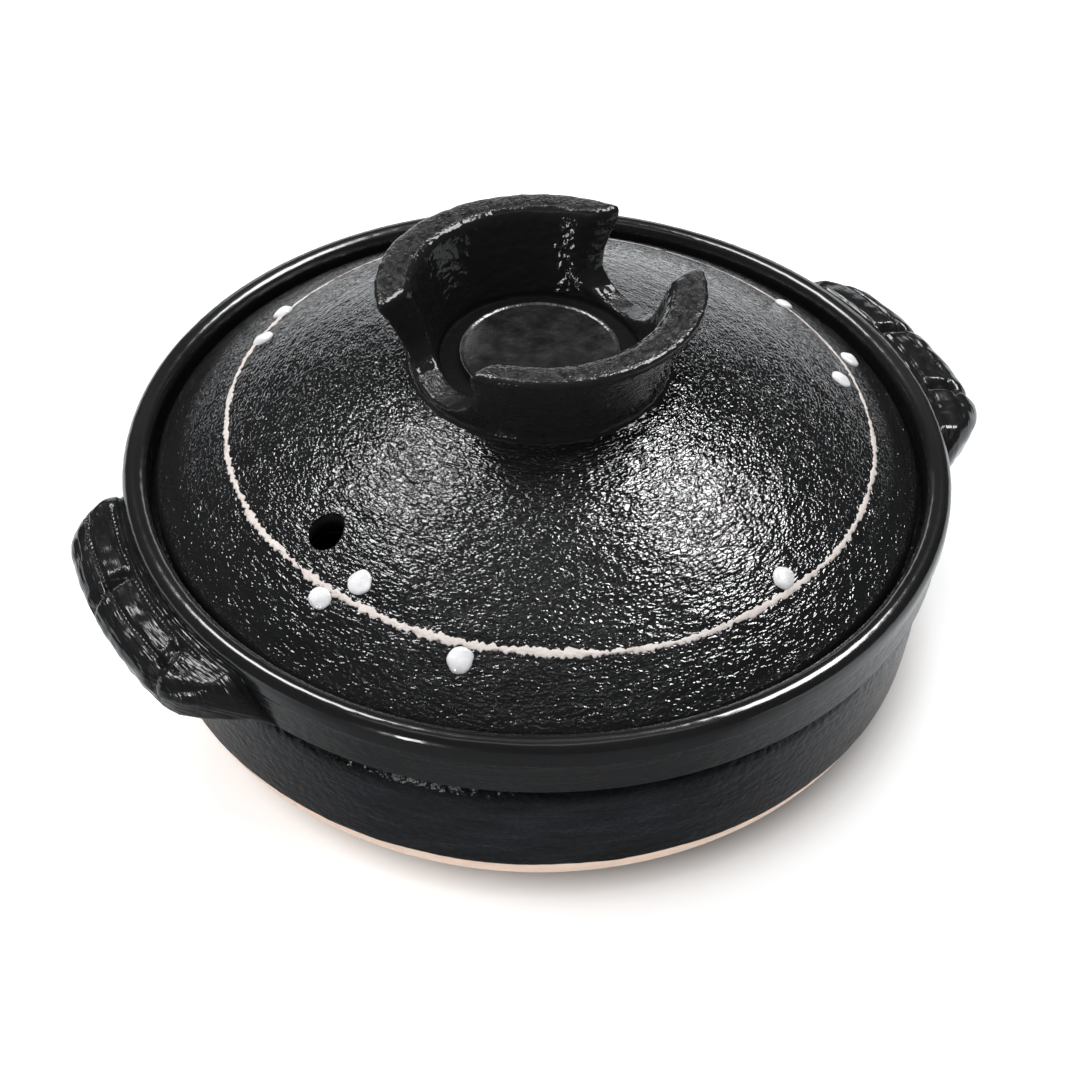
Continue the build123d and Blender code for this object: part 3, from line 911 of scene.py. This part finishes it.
knob_sizes = {
    "Seat": knob_seat_height, "Height": knob_height, "Base Radius": knob_base_radius, "Flare": 9.9 * mm,
    "Ovality": 1.8 * mm, "Hollow": 1.4 * mm, "Wall": 10.6 * mm, "Well Radius": 29.8 * mm,
    "Back Cut": 19.2 * mm, "Back Cut Foot": 17.0 * mm, "Back Cut Angle": radians(9.0), "Back Cut Flare": 0.24,
    "Front Cut": 20 * mm, "Front Cut Foot": 12.5 * mm, "Front Cut Angle": radians(11), "Front Cut Flare": 0.0,
    "Cut Flare Radius": 36.5 * mm, "Slot Inner Floor": 3.0 * mm, "Slot Outer Floor": 1.9 * mm,
    "Edge Round": 5.0 * mm, "Slot Edge Round": 1.2 * mm, "Slot Fillet": 24.0 * mm, "Foot Fillet": 3.5 * mm,
    "Channel Inner Radius": 22.5 * mm, "Channel Floor": 0.6 * mm, "Dome Radius": dome_radius,
    "Dome Centre": dome_centre, "Sink": 0.12 * mm, "Root": 1.0 * mm, "Unevenness": 0.22 * mm,
    "Grain": 0.58 * mm}


def most(first, *others):
    """The largest of some values."""
    for other in others:
        first = calc("MAXIMUM", first, other)
    return first


def knob_tree():
    """The knob as one body of clay and pooled glaze, from the distance of each point to its faces."""
    tree, given = geometry_tree("slotted_knob", knob_sizes)
    x, y, z = parts(add(tree, "GeometryNodeInputPosition"))
    base = given["Base Radius"]
    level = x * x + y * y
    radius = calc("SQRT", level)
    rise = z - given["Seat"]
    share = rise / given["Height"]

    bow = share * (1.0 - share) * -4.0
    sideways = x * knob_wide_way[0] + y * knob_wide_way[1]
    flare = sideways * sideways / level * given["Ovality"] + given["Flare"]
    outer = bow * given["Hollow"] + (share * flare + base)
    top_inner = base + given["Flare"] - given["Wall"]
    inner = share * (top_inner - given["Well Radius"]) + given["Well Radius"]
    wall = calc("MAXIMUM", (radius - outer) * knob_side_shares[0], (inner - radius) * knob_side_shares[1])
    ring = calc("SMOOTH_MAX", wall, rise - given["Height"], given["Edge Round"])

    inside_cuts = []
    for cut, side in (("Back Cut", 1.0), ("Front Cut", -1.0)):
        angle = given[cut + " Angle"]
        across = y * calc("COSINE", angle) - x * calc("SINE", angle)
        reach = share * (given[cut] - given[cut + " Foot"]) + given[cut + " Foot"]
        past = calc("MAXIMUM", radius - given["Cut Flare Radius"], 0.0)
        inside_cuts.append(reach - past * given[cut + " Flare"] - across * side)
    slot_floor = given["Slot Inner Floor"]
    floor_height = ramp(radius, given["Well Radius"], base, slot_floor, given["Slot Outer Floor"])
    slot = calc("SMOOTH_MIN", calc("MINIMUM", *inside_cuts), rise - floor_height, given["Slot Fillet"])
    edge_round = ramp(rise, *[slot_floor * times for times in slot_edge_shares],
                      given["Slot Edge Round"], given["Edge Round"])
    body = calc("SMOOTH_MAX", ring, slot, edge_round)

    up = z - given["Dome Centre"]
    over_dome = calc("SQRT", up * up + level) - given["Dome Radius"]
    over_lid = calc("MAXIMUM", over_dome, rise) + given["Sink"]
    under_lid = (over_lid + given["Root"]) * -1.0
    fillet = given["Foot Fillet"]
    pool = most(over_lid, under_lid, radius - (base + fillet), base - fillet - radius)
    channel = most(rise - given["Channel Floor"], under_lid, given["Channel Inner Radius"] - radius,
                   radius - base)
    rooted = calc("MINIMUM", calc("MAXIMUM", body, under_lid), channel)
    pooled = calc("SMOOTH_MIN", rooted, pool, fillet)

    lumps = uneven(combine(*[value / knob_lump_size for value in (x, y, z)]))
    depth = (lumps * given["Unevenness"] + pooled) / (given["Grain"] * -4.0)
    density = add(tree, "ShaderNodeClamp", {0: depth + 0.5})
    half = base + (given["Flare"] + given["Ovality"]) + given["Root"]
    low = given["Seat"] - fillet
    high = given["Seat"] + given["Height"] + given["Root"]
    back = half * -1.0
    steps = calc("CEIL", half * 2.0 / given["Grain"])
    layers = calc("CEIL", (high - low) / given["Grain"])
    volume = add(tree, "GeometryNodeVolumeCube", {
        "Density": density, "Background": 0.0, "Min": combine(back, back, low),
        "Max": combine(half, half, high), "Resolution X": steps, "Resolution Y": steps,
        "Resolution Z": layers})
    skin = add(tree, "GeometryNodeVolumeToMesh", {0: volume, "Threshold": 0.5, "Adaptivity": 0.0})
    return finished(tree, skin, given["Material"])


knob = grown("knob_ring_glazed", bpy.data.meshes.new("knob_start"), knob_tree(), {
    **knob_sizes, "Material": knob_glaze})
body = bmesh.new()
body.from_mesh(knob)
joined, reached = set(), [max(body.verts, key=lambda vertex: vertex.co.z)]
while reached:
    vertex = reached.pop()
    if vertex not in joined:
        joined.add(vertex)
        reached += [edge.other_vert(vertex) for edge in vertex.link_edges]
bmesh.ops.delete(body, geom=[vertex for vertex in body.verts if vertex not in joined], context="VERTS")
for _ in range(knob_smoothings):
    bmesh.ops.smooth_vert(body, verts=body.verts, factor=0.5, use_axis_x=True, use_axis_y=True,
                          use_axis_z=True)
body.to_mesh(knob)
body.free()
knob.materials.append(knob_crown_glaze)
knob.materials.append(recess_shade_black)
channel_radius = knob_sizes["Well Radius"] + 1 * mm
for face in knob.polygons:
    rise = face.center.z - knob_seat_height
    face.material_index = int(rise > knob_floor_height and face.normal.z > 0.95)
    # The channel round the boss takes the dull black as painted shade.
    if rise < knob_channel_height and hypot(face.center.x, face.center.y) < channel_radius:
        face.material_index = 2
fit("knob_ring_glazed", knob, "lid", "knob_glaze", "knob_ring")


# The boss in the middle of the knob, turned on the wheel to a shallow dish with a rounded edge.
boss_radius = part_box("knob_boss")[1][0] + 0.5 * mm
boss_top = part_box("knob_boss")[1][2]
boss_low = knob_seat_height - 0.5 * mm
boss_dish = 0.42 * mm
boss_glaze = ceramic("boss_glaze", (0.007, 0.007, 0.0073), (0.016, 0.016, 0.0165), (5 * mm, 2 * mm),
                     (0.16, 0.3), [(1.6 * mm, 1.3 * mm, 0.14 * mm)], detail=1.0)
boss_corners = (
    run(0.4 * mm, (0.0, boss_top - boss_dish, 0.0), (boss_radius * 0.94, boss_top - boss_dish * 0.95, 1 * mm),
        (boss_radius * 0.985, boss_top, 0.5 * mm), (boss_radius, boss_top - 0.3 * mm, 0.7 * mm))
    + run(2 * mm, (boss_radius, boss_low, 0.0), (0.0, boss_low, 0.0)))
boss = thrown("knob_boss_turned", list(reversed(boss_corners)), 260, boss_glaze,
              (0.03 * mm, 2.6 * mm, 14 * mm), (0.07 * mm, 2.4 * mm), seed=5.0)
fit("knob_boss_turned", boss, "lid", "knob_glaze", "knob_boss")


# The painted ring: white slip trailed round the lid freehand over the glaze, a little off centre,
# thick enough to feel, and ragged where it took to the pebbled surface.
line_radius = lid_radius - 18.9 * mm
line_width = 1.38 * mm
line_height = 0.30 * mm
line_sink = 0.5 * mm
line_offset = Vector((cos(radians(-28)), sin(radians(-28)))) * 3.9 * mm
line_heavy_angle = radians(-142)
line_heavy_share = 0.4
line_wander = 0.9 * mm
white_slip = ceramic("white_slip", (0.54, 0.47, 0.44), (0.70, 0.65, 0.62), (4 * mm, 0.8 * mm), (0.55, 0.75),
                     [(0.8 * mm, 0.5 * mm, 0.12 * mm)], specular=0.3, across="radius")


def slip_tree():
    """A ragged bead of slip laid on the dome along an off-centre ring, heavier on one side."""
    tree, given = geometry_tree("trailed_slip", (
        "Ring Radius", "Offset X", "Offset Y", "Width", "Height", "Wander", "Heavy Angle", "Heavy Share",
        "Sink", "Dome Radius", "Dome Centre", "Seed"), ("Steps", "Steps Across"))
    ring = given["Steps Across"] + 1.0
    sheet = add(tree, "GeometryNodeMeshGrid", {"Vertices X": given["Steps"] + 1.0, "Vertices Y": ring})
    index = add(tree, "GeometryNodeInputIndex")
    station = calc("FLOOR", index / ring)
    angle = station / given["Steps"] * (2 * pi)
    round_bead = (index - station * ring) / given["Steps Across"] * (2 * pi)
    east, north = calc("COSINE", angle), calc("SINE", angle)
    side, lift = calc("COSINE", round_bead), calc("SINE", round_bead)

    def wobble(size, height, detail=0.0):
        reach = given["Ring Radius"] / size
        return uneven(combine(east * reach, north * reach, height), detail)

    rag = wobble(1.3 * mm, side * 1.4 + given["Seed"], 2.0)
    swell = wobble(9 * mm, given["Seed"] + 9.0)
    wander = wobble(26 * mm, given["Seed"] + 4.0)
    facing = calc("COSINE", angle - given["Heavy Angle"])
    heavy = calc("POWER", calc("MAXIMUM", facing, 0.0), 4.0)
    light = calc("MAXIMUM", facing * -0.8, 0.0)
    width = given["Width"] * (heavy * given["Heavy Share"] + 0.95 - light * 0.35)
    height = given["Height"] * (1.0 - light)
    half = width * (rag + swell * 0.4 + 0.5)
    reach = wander * given["Wander"] + given["Ring Radius"] + side * half
    x = east * reach + given["Offset X"]
    y = north * reach + given["Offset Y"]
    dome = calc("SQRT", given["Dome Radius"] * given["Dome Radius"] - (x * x + y * y))
    above = calc("MAXIMUM", lift, 0.0) * height
    below = calc("MINIMUM", lift, 0.0) * given["Sink"]
    z = dome + given["Dome Centre"] + (above + below)
    laid = add(tree, "GeometryNodeSetPosition", {"Geometry": sheet, "Position": combine(x, y, z)})
    closed = add(tree, "GeometryNodeMergeByDistance", {"Geometry": laid, "Distance": merge_gap})
    return finished(tree, closed, given["Material"])


slip = grown("painted_ring", bpy.data.meshes.new("slip_start"), slip_tree(), {
    "Ring Radius": line_radius, "Offset X": line_offset.x, "Offset Y": line_offset.y, "Width": line_width,
    "Height": line_height, "Wander": line_wander, "Heavy Angle": line_heavy_angle,
    "Heavy Share": line_heavy_share, "Sink": line_sink, "Dome Radius": dome_radius,
    "Dome Centre": dome_centre, "Steps": 1500, "Steps Across": 12, "Seed": 2.0, "Material": white_slip})
fit("painted_ring", slip, "lid", "white_slip", "lid_painted_line")


# The dots: drops of white enamel set on the glaze beside the painted ring and fired to a gloss, each
# a little different in size and not quite round.
dot_diameter = 6.9 * mm
dot_height = 1.6 * mm
dot_unevenness = 1.2 * mm
dot_lumps_per_metre = 260.0
dot_angles = (121.7, 131.6, -150.0, -154.8, -129.1, -72.4, -15.6, -6.6, 10.7, 66.0)
dot_line_gap_shares = (0.15, -0.21, -0.75, 0.42, 0.61, -0.56, -0.84, 0.66, 0.08, -0.30)
dot_size_shares = (0.96, 1.0, 1.04, 1.0, 1.08, 1.0, 0.95, 0.98, 0.9, 0.8)
white_enamel = ceramic("white_enamel", (0.68, 0.68, 0.70), (0.80, 0.80, 0.81), (3 * mm, 3 * mm), (0.12, 0.2),
                       [(1.6 * mm, 1.6 * mm, 0.10 * mm)], across="radius")


def drop_tree():
    """A drop of enamel on each point, turned square to the dome and pulled a little out of round."""
    tree, given = geometry_tree("enamel_drops", ("Diameter", "Height", "Dome Centre", "Lumps", "Uneven"))
    ball = add(tree, "GeometryNodeMeshUVSphere", {"Segments": 48, "Rings": 24, "Radius": 0.5})
    flat = combine(given["Diameter"], given["Diameter"], given["Height"] * 2.0)
    drop = add(tree, "GeometryNodeTransform", {"Geometry": ball, "Scale": flat})
    spot = add(tree, "GeometryNodeInputPosition")
    low = combine(0.0, 0.0, given["Dome Centre"])
    outward = add(tree, "ShaderNodeVectorMath", {0: spot, 1: low}, operation="SUBTRACT")
    turn = add(tree, "FunctionNodeAlignRotationToVector", {"Vector": outward}, axis="Z")
    size = add(tree, "GeometryNodeInputNamedAttribute", {"Name": "size"}, data_type="FLOAT")
    placed = add(tree, "GeometryNodeInstanceOnPoints", {
        "Points": given["Geometry"], "Instance": drop, "Rotation": turn, "Scale": size})
    real = add(tree, "GeometryNodeRealizeInstances", {0: placed})
    lump = add(tree, "ShaderNodeTexNoise", {"Vector": spot, "Scale": given["Lumps"], "Detail": 0.0}, "Color")
    pull = add(tree, "ShaderNodeVectorMath", {0: lump, 1: (0.5, 0.5, 0.5)}, operation="SUBTRACT")
    return finished(tree, moved(real, pull, given["Uneven"]), given["Material"])


def line_reach(angle):
    """The distance from the pot's axis to the middle of the painted ring, at an angle."""
    swing = angle - atan2(line_offset.y, line_offset.x)
    return line_offset.length * cos(swing) + sqrt(line_radius ** 2 - (line_offset.length * sin(swing)) ** 2)


dot_points = bpy.data.meshes.new("dot_points")
spots = []
for degrees, gap_share in zip(dot_angles, dot_line_gap_shares):
    reach = line_reach(radians(degrees)) + dot_diameter * gap_share
    spots.append((cos(radians(degrees)) * reach, sin(radians(degrees)) * reach, on_dome(reach)))
dot_points.from_pydata(spots, [], [])
sizes = dot_points.attributes.new("size", "FLOAT", "POINT")
for index, share in enumerate(dot_size_shares):
    sizes.data[index].value = share
drops = grown("enamel_dots", dot_points, drop_tree(), {
    "Diameter": dot_diameter, "Height": dot_height, "Dome Centre": dome_centre, "Lumps": dot_lumps_per_metre,
    "Uneven": dot_unevenness, "Material": white_enamel})
fit("enamel_dots", drops, "lid", "white_enamel", "lid_enamel_dots")
